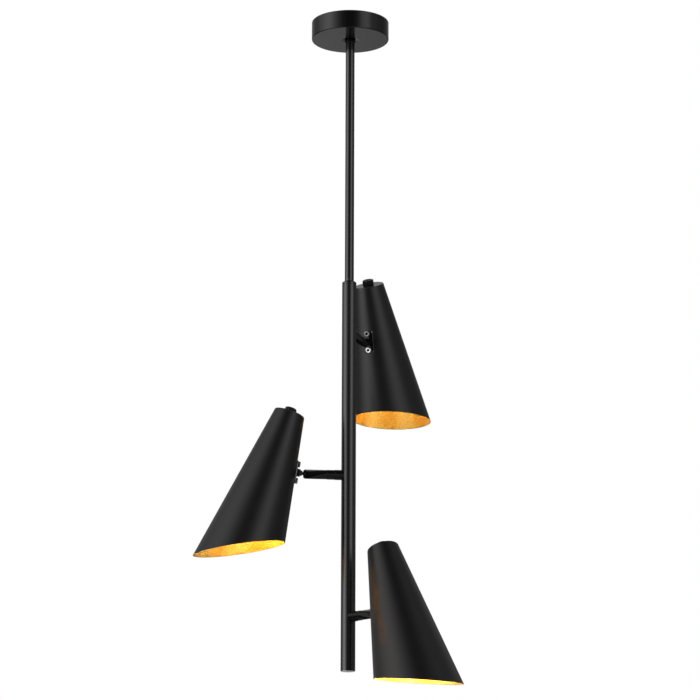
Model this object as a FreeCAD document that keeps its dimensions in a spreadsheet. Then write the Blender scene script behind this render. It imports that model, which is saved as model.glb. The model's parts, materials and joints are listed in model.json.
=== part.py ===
import FreeCAD, Part
import os, math
import Sketcher

# Ceiling chandelier: a round canopy, a thin down-rod, a thicker lower tube and
# three oblique-cut cone shades, each on a short arm with a ball swivel.
# Frame: origin on the ceiling plane at the middle of the canopy, +Z up,
# -Y towards the front. Millimetres and degrees.

V = FreeCAD.Vector
doc = FreeCAD.newDocument("chandelier")
sheet = doc.addObject("Spreadsheet::Sheet", "dims")

TABLE = [
    # ceiling end
    ("canopy_dia", 109.6, "outside diameter of the canopy"),
    ("canopy_height", 25.6, "height of the canopy"),
    ("canopy_wall", 1.2, "sheet of the canopy"),
    ("canopy_edge", 1.4, "radius of the canopy's lower edge"),
    ("strap_width", 16.0, "width of the ceiling strap"),
    ("strap_sheet", 1.5, "sheet of the ceiling strap"),
    ("strap_drop", 13.0, "underside of the strap's middle below the ceiling"),
    ("strap_half", 47.0, "half length of the strap"),
    ("strap_knee", 32.0, "where the strap bends up to its tabs"),
    ("slot_spacing", 78.0, "distance between the two slots"),
    ("slot_length", 12.0, "slot end to end"),
    ("slot_width", 5.0, "slot width"),
    ("nipple_dia", 10.0, "M10x1 hollow nipple"),
    ("nipple_bore", 7.0, "bore of the nipple"),
    ("nipple_top", 8.3, "top of the nipple below the ceiling"),
    ("nipple_hold", 12.0, "nipple inside the rod"),
    ("nut_flats", 14.0, "M10x1 nut across flats"),
    ("nut_height", 3.0, "thin M10x1 nut"),
    ("collar_dia", 14.2, "lock collar under the canopy"),
    ("collar_height", 5.1, "lock collar height"),
    ("block_len", 26.0, "terminal block along the poles"),
    ("block_deep", 15.0, "terminal block along the wires"),
    ("block_tall", 9.6, "terminal block height"),
    ("pole_pitch", 8.0, "pole to pole"),
    ("insert_dia", 4.6, "brass sleeve"),
    ("insert_bore", 3.0, "brass sleeve bore"),
    # stem
    ("rod_dia", 12.7, "down-rod"),
    ("rod_bore", 9.0, "bore of the down-rod"),
    ("reducer_top", 380.6, "top of the reducer below the ceiling"),
    ("reducer_joint", 385.6, "joint of reducer and lower tube"),
    ("reducer_chamfer", 2.0, "chamfer of the reducer"),
    ("tube_dia", 20.0, "lower tube"),
    ("tube_bore", 17.0, "bore of the lower tube"),
    ("tube_end", 923.6, "lower end of the tube below the ceiling"),
    ("plug_dia", 19.4, "visible diameter of the end plug"),
    ("plug_drop", 0.9, "plug standing out of the tube"),
    # arms
    ("arm_a", 455.6, "upper arm below the ceiling"),
    ("arm_b", 655.0, "middle arm below the ceiling"),
    ("arm_c", 850.6, "lower arm below the ceiling"),
    ("turn_a", 157.8, "upper arm azimuth from the front"),
    ("turn_b", -81.9, "middle arm azimuth"),
    ("turn_c", 36.4, "lower arm azimuth"),
    ("pitch_a", 0.0, "upper arm pitch"),
    ("pitch_b", 0.0, "middle arm pitch"),
    ("pitch_c", 0.0, "lower arm pitch"),
    ("lean_a", 15.7, "upper neck above the arm axis"),
    ("lean_b", 8.3, "middle neck above the arm axis"),
    ("lean_c", 13.0, "lower neck above the arm axis"),
    ("roll_a", 0.3, "upper twist about the arm"),
    ("roll_b", 0.5, "middle twist about the arm"),
    ("roll_c", -1.4, "lower twist about the arm"),
    ("pivot_out", 58.4, "ball centre from the tube axis"),
    ("arm_collar_dia", 14.0, "collar against the tube"),
    ("arm_collar_end", 19.25, "end of the collar"),
    ("arm_ring_dia", 13.4, "ring after the collar"),
    ("arm_ring_end", 30.0, "end of the ring"),
    ("sleeve_dia", 12.8, "sleeve that holds the ball"),
    ("sleeve_nose", 4.7, "nose end beyond the ball centre"),
    ("nose_radius", 3.3, "rounding of the nose"),
    ("sleeve_bore", 10.2, "bore of the sleeve"),
    ("stud_dia", 8.0, "hollow stud"),
    ("stud_bore", 5.4, "bore of the stud"),
    ("stud_start", 5.2, "inner end of the stud"),
    ("ball_dia", 9.8, "swivel ball"),
    ("ball_gap", 0.05, "play round the ball"),
    ("stem_dia", 4.4, "stem between ball and neck"),
    ("neck_dia", 7.6, "neck"),
    ("neck_start", 6.2, "neck start from the ball centre"),
    ("swivel_stub", 5.8, "threaded end through plate and shade"),
    ("plate_out", 14.8, "shade surface from the ball centre"),
    ("cable_bore", 2.8, "bore through the ball"),
    ("tilt_free", 26.0, "largest angle of the neck to the arm"),
    # shades
    ("shade_top_r", 21.3, "shade radius at its flat top"),
    ("shade_half_angle", 9.88, "half angle of the cone"),
    ("shade_axis_len", 199.4, "flat top to the cut plane on the axis"),
    ("shade_cut", 27.0, "angle of the oblique cut"),
    ("shade_sheet", 1.0, "sheet of the shade"),
    ("plate_drop", 75.3, "bracket below the flat top along the axis"),
    ("plate_len", 32.0, "bracket plate length"),
    ("plate_wide", 15.0, "bracket plate width"),
    ("plate_thick", 1.8, "bracket plate thickness"),
    ("screw_gap", 23.2, "distance between the bracket screws"),
    ("screw_dia", 4.0, "M4 screws"),
    ("screw_head", 8.2, "screw head diameter"),
    ("screw_head_tall", 2.6, "screw head height"),
    ("hexnut_flats", 15.0, "nut on the shade across flats"),
    ("hexnut_height", 7.6, "nut on the shade height"),
    ("holder_dia", 26.0, "lampholder"),
    ("holder_len", 51.0, "lampholder length"),
    ("cap_dia", 13.9, "lamp cap"),
    ("bulb_dia", 45.0, "round bulb"),
    ("bulb_centre", 80.0, "bulb centre below the flat top"),
    ("lead_dia", 2.4, "thin twin lead"),
    ("lead_ring", 4.2, "leads' distance from the axis in the tube"),
    ("lead_core", 1.7, "leads' distance from the axis in the rod"),
]
for row, (alias, value, note) in enumerate(TABLE, 1):
    sheet.set("A%d" % row, "'" + note)
    sheet.set("B%d" % row, repr(value))
    sheet.setAlias("B%d" % row, alias)
doc.recompute()


class Dim:
    """A size and the sheet formula that gives it."""

    def __init__(self, value, text):
        self.value, self.text = float(value), text

    @staticmethod
    def of(x):
        return x if isinstance(x, Dim) else Dim(x, "(%r)" % float(x))

    def _join(self, other, sign, value):
        return Dim(value, "(%s %s %s)" % (self.text, sign, Dim.of(other).text))

    def __add__(self, o):
        return self._join(o, "+", self.value + Dim.of(o).value)

    def __sub__(self, o):
        return self._join(o, "-", self.value - Dim.of(o).value)

    def __mul__(self, o):
        return self._join(o, "*", self.value * Dim.of(o).value)

    def __truediv__(self, o):
        return self._join(o, "/", self.value / Dim.of(o).value)

    def __neg__(self):
        return Dim(-self.value, "(0 - %s)" % self.text)


D = {alias: Dim(float(sheet.get(alias)), "dims." + alias) for alias, _, _ in TABLE}
N = {alias: D[alias].value for alias in D}
X, Y, Z = (1, 0, 0), (0, 1, 0), (0, 0, 1)
serial = [0]


def unique(name):
    serial[0] += 1
    return "%s_%03d" % (name, serial[0])


def place(o, at, axis=Z, spin=0.0):
    turn = FreeCAD.Rotation(V(0, 0, 1), V(*axis))
    if spin:
        turn = turn.multiply(FreeCAD.Rotation(V(0, 0, 1), spin))
    o.Placement = FreeCAD.Placement(V(*[Dim.of(c).value for c in at]), turn)
    for letter, c in zip("xyz", at):
        if isinstance(c, Dim):
            o.setExpression("Placement.Base." + letter, c.text)
    return o


def bind(o, **sizes):
    for key, size in sizes.items():
        size = Dim.of(size)
        setattr(o, key, size.value)
        o.setExpression(key, size.text)
    return o


def cyl(name, r, length, at=(0, 0, 0), axis=Z):
    return place(bind(doc.addObject("Part::Cylinder", unique(name)), Radius=r, Height=length), at, axis)


def cone(name, r1, r2, length, at=(0, 0, 0), axis=Z):
    return place(bind(doc.addObject("Part::Cone", unique(name)), Radius1=r1, Radius2=r2, Height=length), at, axis)


def ball(name, r, at=(0, 0, 0), axis=Z):
    return place(bind(doc.addObject("Part::Sphere", unique(name)), Radius=r), at, axis)


def box(name, size, at):
    return place(bind(doc.addObject("Part::Box", unique(name)), Length=size[0], Width=size[1], Height=size[2]), at)


def prism(name, flats, length, at=(0, 0, 0), axis=Z, spin=0.0):
    o = doc.addObject("Part::Prism", unique(name))
    o.Polygon = 6
    return place(bind(o, Circumradius=Dim.of(flats) * (1 / math.sqrt(3)), Height=length), at, axis, spin)


def fuse(name, *objs):
    o = doc.addObject("Part::MultiFuse", unique(name))
    o.Shapes = list(objs)
    o.Refine = True
    return o


def cut(name, base, *tools):
    o = doc.addObject("Part::Cut", unique(name))
    o.Base = base
    o.Tool = tools[0] if len(tools) == 1 else fuse(name + "_tools", *tools)
    return o


def common(name, a, b):
    o = doc.addObject("Part::Common", unique(name))
    o.Base, o.Tool = a, b
    return o


def group(name, *objs):
    o = doc.addObject("Part::Compound", unique(name))
    o.Links = list(objs)
    return o


def rounded(name, base, pick, radius, kind="Part::Fillet"):
    """Rounds or bevels the edges of base that pick chooses."""
    doc.recompute()
    o = doc.addObject(kind, unique(name))
    o.Base = base
    chosen = [(i, radius, radius) for i, e in enumerate(base.Shape.Edges, 1) if pick(e)]
    if not chosen:
        raise RuntimeError("no edge to round on " + name)
    o.Edges = chosen
    return o


def ring_at(radius, axis_value, axis=2):
    """Chooses full circles of one radius at one height along an axis."""

    def pick(e):
        c = e.Curve
        return (
            isinstance(c, Part.Circle)
            and abs(c.Radius - radius) < 1e-3
            and abs(c.Center[axis] - axis_value) < 1e-3
        )

    return pick


def revolved(name, points):
    """A turned body: points are (radius, height) pairs of its half section."""
    body = doc.addObject("PartDesign::Body", unique(name))
    sk = body.newObject("Sketcher::SketchObject", unique(name + "_section"))
    plane = [f for f in body.Origin.OriginFeatures if f.Role == "XZ_Plane"][0]
    sk.AttachmentSupport = (plane, [""])
    sk.MapMode = "FlatFace"
    pts = [(Dim.of(a), Dim.of(b)) for a, b in points]
    n = len(pts)
    for i in range(n):
        (a, b), (c, e) = pts[i], pts[(i + 1) % n]
        sk.addGeometry(Part.LineSegment(V(a.value, b.value, 0), V(c.value, e.value, 0)), False)
    for i in range(n):
        sk.addConstraint(Sketcher.Constraint("Coincident", i, 2, (i + 1) % n, 1))
    for i, (a, b) in enumerate(pts):
        for key, label, size in (("DistanceX", "out", a), ("DistanceY", "up", b)):
            k = sk.addConstraint(Sketcher.Constraint(key, -1, 1, i, 1, size.value))
            sk.renameConstraint(k, "%s%d" % (label, i))
            if "dims" in size.text:
                sk.setExpression("Constraints.%s%d" % (label, i), size.text)
    turn = body.newObject("PartDesign::Revolution", unique(name + "_turned"))
    turn.Profile = sk
    turn.ReferenceAxis = (sk, ["V_Axis"])
    turn.Angle = 360
    sk.Visibility = False
    doc.recompute()
    return body


def body_fillet(body, pick, radius, kind="PartDesign::Fillet"):
    tip = body.Tip
    names = ["Edge%d" % i for i, e in enumerate(tip.Shape.Edges, 1) if pick(e)]
    if not names:
        raise RuntimeError("no edge on " + body.Name)
    f = body.newObject(kind, unique(body.Name + "_edge"))
    f.Base = (tip, names)
    radius = Dim.of(radius)
    key = "Radius" if kind.endswith("Fillet") else "Size"
    setattr(f, key, radius.value)
    if "dims" in radius.text:
        f.setExpression(key, radius.text)
    doc.recompute()
    return body


def route(points, size, most=None):
    """A round tube along straight runs joined by tangent arcs, its wire and its bend radii."""
    P = [V(*p) for p in points]
    edges, radii, last = [], [], P[0]
    for i in range(1, len(P) - 1):
        a, b, c = P[i - 1], P[i], P[i + 1]
        u, w = (b - a), (c - b)
        lu, lw = u.Length, w.Length
        u, w = u / lu, w / lw
        turn = math.acos(max(-1.0, min(1.0, u.dot(w))))
        r = 0.45 * min(lu, lw) / math.tan(turn / 2)
        if most:
            r = min(r, most)
        back = r * math.tan(turn / 2)
        s, e = b - u * back, b + w * back
        bis = (w - u)
        bis.normalize()
        centre = b + bis * (r / math.cos(turn / 2))
        mid = centre - bis * r
        edges.append(Part.makeLine(last, s))
        edges.append(Part.Arc(s, mid, e).toShape())
        radii.append(round(r, 1))
        last = e
    edges.append(Part.makeLine(last, P[-1]))
    wire = Part.Wire(edges)
    first = (P[1] - P[0])
    first.normalize()
    section = Part.Wire([Part.makeCircle(size / 2, P[0], first)])
    solid = wire.makePipeShell([section], True, False)
    want = math.pi * size * size / 4 * wire.Length
    if abs(solid.Volume - want) > 0.01 * want:
        raise RuntimeError("tube volume %.1f, wanted %.1f" % (solid.Volume, want))
    return solid, radii


kept = []


def keep(node, o, where=None):
    o.Label = node
    if where is not None:
        o.Placement = where
    kept.append((node, o))
    return o


def put(o, where):
    o.Placement = where
    return o


def axes_placement(origin, x, z):
    y = z.cross(x)
    return FreeCAD.Placement(
        FreeCAD.Matrix(x.x, y.x, z.x, origin.x, x.y, y.y, z.y, origin.y, x.z, y.z, z.z, origin.z, 0, 0, 0, 1)
    )


UP = V(0, 0, 1)
LAMPS = ("upper", "middle", "lower")


def arm_axes(k):
    """Origin on the tube's axis, X out along the arm, Z up."""
    psi = math.radians(N["turn_" + k])
    pit = math.radians(N["pitch_" + k])
    flat = V(math.sin(psi), -math.cos(psi), 0)
    x = flat * math.cos(pit) + UP * math.sin(pit)
    z = flat * -math.sin(pit) + UP * math.cos(pit)
    return flat, x, z, V(0, 0, -N["arm_" + k])


def arm_place(k):
    flat, x, z, o = arm_axes(k)
    return axes_placement(o, x, z)


def lamp_place(k):
    """Origin at the ball's centre, X along the neck to the shade, Z up the shade's back."""
    flat, x, z, o = arm_axes(k)
    lean, roll = math.radians(N["lean_" + k]), N["roll_" + k]
    neck = flat * math.cos(lean) + UP * math.sin(lean)
    up = flat * -math.sin(lean) + UP * math.cos(lean)
    turn = FreeCAD.Rotation(x, roll)
    return axes_placement(o + x * N["pivot_out"], turn.multVec(neck), turn.multVec(up))


ALPHA = math.radians(N["shade_half_angle"])
TAN_A = math.tan(ALPHA)


def cone_r(t):
    return N["shade_top_r"] + t * TAN_A


# the shade's own frame in the lamp frame: origin at the flat top, Z up its axis, X to its long side
SHADE_Z = V(-math.sin(ALPHA), 0, math.cos(ALPHA))
SHADE_X = V(math.cos(ALPHA), 0, math.sin(ALPHA))
SHADE_O = V(N["plate_out"], 0, 0) + SHADE_Z * N["plate_drop"] + SHADE_X * cone_r(N["plate_drop"])
SHADE_PL = axes_placement(SHADE_O, SHADE_X, SHADE_Z)

# ------------------------------------------------------------------ canopy
R0, W = D["canopy_dia"] / 2, D["canopy_wall"]
H = D["canopy_height"]
hole = D["nipple_dia"] / 2 + 0.1
cover = revolved(
    "canopy_cover",
    [(hole, -H), (R0, -H), (R0, 0), (R0 - W, 0), (R0 - W, W - H), (hole, W - H)],
)
body_fillet(cover, ring_at(N["canopy_dia"] / 2, -N["canopy_height"]), D["canopy_edge"])
keep("canopy_cover", cover)

# ------------------------------------------------------------------ ceiling strap
sh, sd, sk_, sw = D["strap_sheet"], D["strap_drop"], D["strap_knee"], D["strap_width"]
middle = box("strap_middle", (sk_ * 2, sw, sh), (-sk_, -(sw / 2), -sd))
legs = [
    box("strap_leg", (sh, sw, sd), (sk_ - sh, -(sw / 2), -sd)),
    box("strap_leg", (sh, sw, sd), (-sk_, -(sw / 2), -sd)),
]
tabs = [
    box("strap_tab", (D["strap_half"] - sk_ + sh, sw, sh), (sk_ - sh, -(sw / 2), -sh)),
    box("strap_tab", (D["strap_half"] - sk_ + sh, sw, sh), (-D["strap_half"], -(sw / 2), -sh)),
]
ear = box("strap_ear", (D["block_len"], D["block_deep"] + 9, sh), (-(D["block_len"] / 2), sw / 2 - 1, -sd))
strap = fuse("strap_body", middle, ear, *(legs + tabs))
holes = [cyl("strap_hole", D["nipple_dia"] / 2 + 0.1, sh + 2, (0, 0, -sd - 1))]
for s in (1, -1):
    mid = D["slot_spacing"] / 2 * s
    run = D["slot_length"] - D["slot_width"]
    holes.append(box("slot", (run, D["slot_width"], sh + 2), (mid - run / 2, -(D["slot_width"] / 2), -sh - 1)))
    for e in (1, -1):
        holes.append(cyl("slot_end", D["slot_width"] / 2, sh + 2, (mid + run / 2 * e, 0, -sh - 1)))
holes.append(cyl("earth_hole", 2.0, sh + 2, (21, 0, -sd - 1)))
holes.append(cyl("block_hole", 1.5, sh + 2, (4, 24, -sd - 1)))
keep("ceiling_bracket", cut("ceiling_bracket", strap, *holes))

# ------------------------------------------------------------------ nipple, its nuts and the lock collar
rod_top = -(N["canopy_height"] + N["collar_height"])
top = -D["nipple_top"]
low = -(H + D["collar_height"] + D["nipple_hold"])
nipple = cut(
    "nipple",
    cyl("nipple_rod", D["nipple_dia"] / 2, top - low, (0, 0, low)),
    cyl("nipple_hole", D["nipple_bore"] / 2, top - low + 2, (0, 0, low - 1)),
)
keep("canopy_nipple", nipple)
nuts = []
for z0 in (sh - sd, -sd - D["nut_height"]):
    nuts.append(
        cut(
            "thin_nut",
            prism("thin_nut_hex", D["nut_flats"], D["nut_height"], (0, 0, z0), Z, 30),
            cyl("thin_nut_hole", D["nipple_dia"] / 2, D["nut_height"] + 2, (0, 0, z0 - 1)),
        )
    )
keep("nipple_nuts", group("nipple_nuts", *nuts))
c_r, c_h = D["collar_dia"] / 2, D["collar_height"]
collar = revolved(
    "canopy_collar",
    [
        (D["nipple_dia"] / 2, -H - c_h),
        (c_r - 0.6, -H - c_h),
        (c_r, -H - c_h + 0.6),
        (c_r, -H),
        (D["nipple_dia"] / 2, -H),
    ],
)
keep("canopy_collar", collar)

# ------------------------------------------------------------------ terminal block on the strap's ear
bz = sh - sd
by = 16.5
block = box("block", (D["block_len"], D["block_deep"], D["block_tall"]), (-(D["block_len"] / 2), by, bz))
wire_z = -6.0
tools, sleeves, clamp_screws = [], [], []
for p in (-1, 0, 1):
    px = D["pole_pitch"] * p
    tools.append(cyl("pole_bore", D["insert_dia"] / 2, D["block_deep"] + 2, (px, by - 1, wire_z), Y))
    sleeve = cyl("sleeve", D["insert_dia"] / 2, D["block_deep"], (px, by, wire_z), Y)
    bore = cyl("sleeve_bore", D["insert_bore"] / 2, D["block_deep"] + 2, (px, by - 1, wire_z), Y)
    taps = []
    for f in (0.28, 0.72):
        sy = D["block_deep"] * f + by
        tools.append(cyl("screw_well", 1.6, 12, (px, sy, wire_z)))
        taps.append(cyl("screw_tap", 1.25, 12, (px, sy, wire_z)))
        shank = cyl("clamp_screw", 1.25, 3.0, (px, sy, wire_z + 1.35))
        slot = box("clamp_slot", (0.5, 3, 1), (px - 0.25, sy - 1.5, wire_z + 3.75))
        clamp_screws.append(cut("clamp_screw", shank, slot))
    sleeves.append(cut("sleeve_tube", sleeve, bore, *taps))
tools.append(cyl("fix_bore", 1.5, 8.6, (4, 24, bz - 1)))
keep("terminal_block", cut("terminal_block", block, *tools))
keep("terminal_inserts", group("terminal_inserts", *sleeves))
fix = fuse("block_screw", cyl("block_shank", 1.5, 8.5, (4, 24, -D["strap_drop"])), cyl("block_head", 2.7, 1.6, (4, 24, -D["strap_drop"] - 1.6)))
keep("terminal_screws", group("terminal_screws", *(clamp_screws + [fix])))
earth_shank = cyl("earth_shank", 2.0, 7.5, (21, 0, -D["strap_drop"] - 4))
earth_head = rounded("earth_dome", cyl("earth_head", 3.6, 2.4, (21, 0, sh - sd + 0.8)), ring_at(3.6, -N["strap_drop"] + 4.7), 1.0)
earth_washer = cut("earth_ring", cyl("earth_washer", 4.5, 0.8, (21, 0, sh - sd)), cyl("earth_ring_hole", 2.0, 2, (21, 0, sh - sd - 0.5)))
keep("earth_screw", group("earth_screw", fuse("earth_bolt", earth_shank, earth_head), earth_washer))

# ------------------------------------------------------------------ down-rod, reducer, tube, plug
r_top = -(H + D["collar_height"])
j_top, j_low = -D["reducer_top"], -D["reducer_joint"]
rod_low = j_top - 8
rod = revolved(
    "down_rod",
    [
        (D["rod_bore"] / 2, rod_low),
        (D["rod_dia"] / 2, rod_low),
        (D["rod_dia"] / 2, r_top),
        (D["nipple_dia"] / 2, r_top),
        (D["nipple_dia"] / 2, r_top - D["nipple_hold"]),
        (D["rod_bore"] / 2, r_top - D["nipple_hold"]),
    ],
)
keep("down_rod", rod)
tr, tb = D["tube_dia"] / 2, D["tube_bore"] / 2
reducer = revolved(
    "reducer_cap",
    [
        (D["rod_bore"] / 2, j_low - 12),
        (tb, j_low - 12),
        (tb, j_low),
        (tr, j_low),
        (tr, j_top - D["reducer_chamfer"]),
        (tr - D["reducer_chamfer"], j_top),
        (D["rod_dia"] / 2, j_top),
        (D["rod_dia"] / 2, rod_low),
        (D["rod_bore"] / 2, rod_low),
    ],
)
keep("reducer_cap", reducer)
t_end = -D["tube_end"]
pipe = cut("pipe", cyl("pipe_out", tr, j_low - t_end, (0, 0, t_end)), cyl("pipe_in", tb, j_low - t_end + 2, (0, 0, t_end - 1)))
side = []
for k in "abc":
    flat, x, z, o = arm_axes(k)
    h = cyl("side_hole", D["stud_dia"] / 2 + 0.15, 14, tuple(o + x * 2), (x.x, x.y, x.z))
    side.append(h)
keep("lower_tube", cut("lower_tube", pipe, *side))
plug = revolved(
    "end_cap",
    [
        (0, t_end - D["plug_drop"]),
        (D["plug_dia"] / 2 - 1.9, t_end - D["plug_drop"]),
        (D["plug_dia"] / 2, t_end - D["plug_drop"] + 0.65),
        (D["plug_dia"] / 2, t_end),
        (tb, t_end),
        (tb, t_end + 8),
        (tb - 1.5, t_end + 8),
        (tb - 1.5, t_end + 0.6),
        (0, t_end + 0.6),
    ],
)
keep("end_cap", plug)

# ------------------------------------------------------------------ arms
P0 = D["pivot_out"]
collars, rings, studs, plates, sleeves = [], [], [], [], []
for k in "abc":
    where = arm_place(k)
    flat, x, z, o = arm_axes(k)
    pit = math.radians(N["pitch_" + k])
    up = (math.sin(pit), 0, math.cos(pit))
    stem = lambda r, name: place(bind(doc.addObject("Part::Cylinder", unique(name)), Radius=r, Height=60), (-30 * up[0], 0, -30 * up[2]), up)
    c = cyl("collar_out", D["arm_collar_dia"] / 2, D["arm_collar_end"] - 5.5, (5.5, 0, 0), X)
    c = rounded("collar_round", c, ring_at(N["arm_collar_dia"] / 2, N["arm_collar_end"], 0), 0.5)
    c = cut("collar", c, stem(tr, "collar_saddle"), cyl("collar_bore", D["stud_dia"] / 2, 30, (4, 0, 0), X))
    collars.append(put(c, where))
    c = cyl("ring_out", D["arm_ring_dia"] / 2, D["arm_ring_end"] - D["arm_collar_end"], (D["arm_collar_end"], 0, 0), X)
    c = rounded("ring_round", c, lambda e: isinstance(e.Curve, Part.Circle), 0.4)
    c = cut("ring", c, cyl("ring_bore", D["stud_dia"] / 2, 30, (D["arm_collar_end"] - 2, 0, 0), X))
    rings.append(put(c, where))
    stud_end = P0 - 7.6
    c = cut(
        "stud",
        cyl("stud_out", D["stud_dia"] / 2, stud_end - D["stud_start"], (D["stud_start"], 0, 0), X),
        cyl("stud_in", D["stud_bore"] / 2, stud_end + 4, (D["stud_start"] - 2, 0, 0), X),
    )
    studs.append(put(c, where))
    c = common("saddle_arc", box("saddle_box", (5, 11, 12), (4, -5.5, -6)), cut("saddle_shell", stem(tb - 0.05, "saddle_out"), stem(tb - 3, "saddle_in")))
    c = cut("saddle_nut", c, cyl("saddle_hole", D["stud_dia"] / 2, 12, (0, 0, 0), X))
    plates.append(put(c, where))
    # the sleeve: bore on the stud, wider bore for the seat, round seat for the ball, flared mouth
    nose = P0 + D["sleeve_nose"]
    s = cyl("sleeve_out", D["sleeve_dia"] / 2, nose - D["arm_ring_end"], (D["arm_ring_end"], 0, 0), X)
    s = rounded("sleeve_nose", s, ring_at(N["sleeve_dia"] / 2, N["pivot_out"] + N["sleeve_nose"], 0), N["nose_radius"])
    s = rounded("sleeve_heel", s, ring_at(N["sleeve_dia"] / 2, N["arm_ring_end"], 0), 0.4)
    flare = math.tan(math.radians(N["tilt_free"]))
    mouth = N["stem_dia"] / 2 / math.cos(math.radians(N["tilt_free"])) + 0.15
    s = cut(
        "sleeve",
        s,
        cyl("sleeve_thread", D["stud_dia"] / 2, 20, (D["arm_ring_end"] - 5, 0, 0), X),
        cyl("sleeve_room", D["sleeve_bore"] / 2, 14.2, (P0 - 15, 0, 0), X),
        ball("sleeve_seat", D["ball_dia"] / 2 + D["ball_gap"], (P0, 0, 0), X),
        cone("sleeve_mouth", mouth + 1.3 * flare, mouth + 7 * flare, 5.7, (P0 + 1.3, 0, 0), X),
    )
    sleeves.append(put(s, where))
keep("arm_collars", group("arm_collars", *collars))
keep("arm_rings", group("arm_rings", *rings))
keep("arm_studs", group("arm_studs", *studs))
keep("arm_saddle_nuts", group("arm_saddle_nuts", *plates))
doc.recompute()
sizes = [s.Shape.Volume for s in sleeves]
if max(sizes) - min(sizes) > 0.5 or min(sizes) < 1500:
    raise RuntimeError("sleeve volumes %s" % sizes)
keep("arm_sleeves", group("arm_sleeves", *sleeves))

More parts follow.
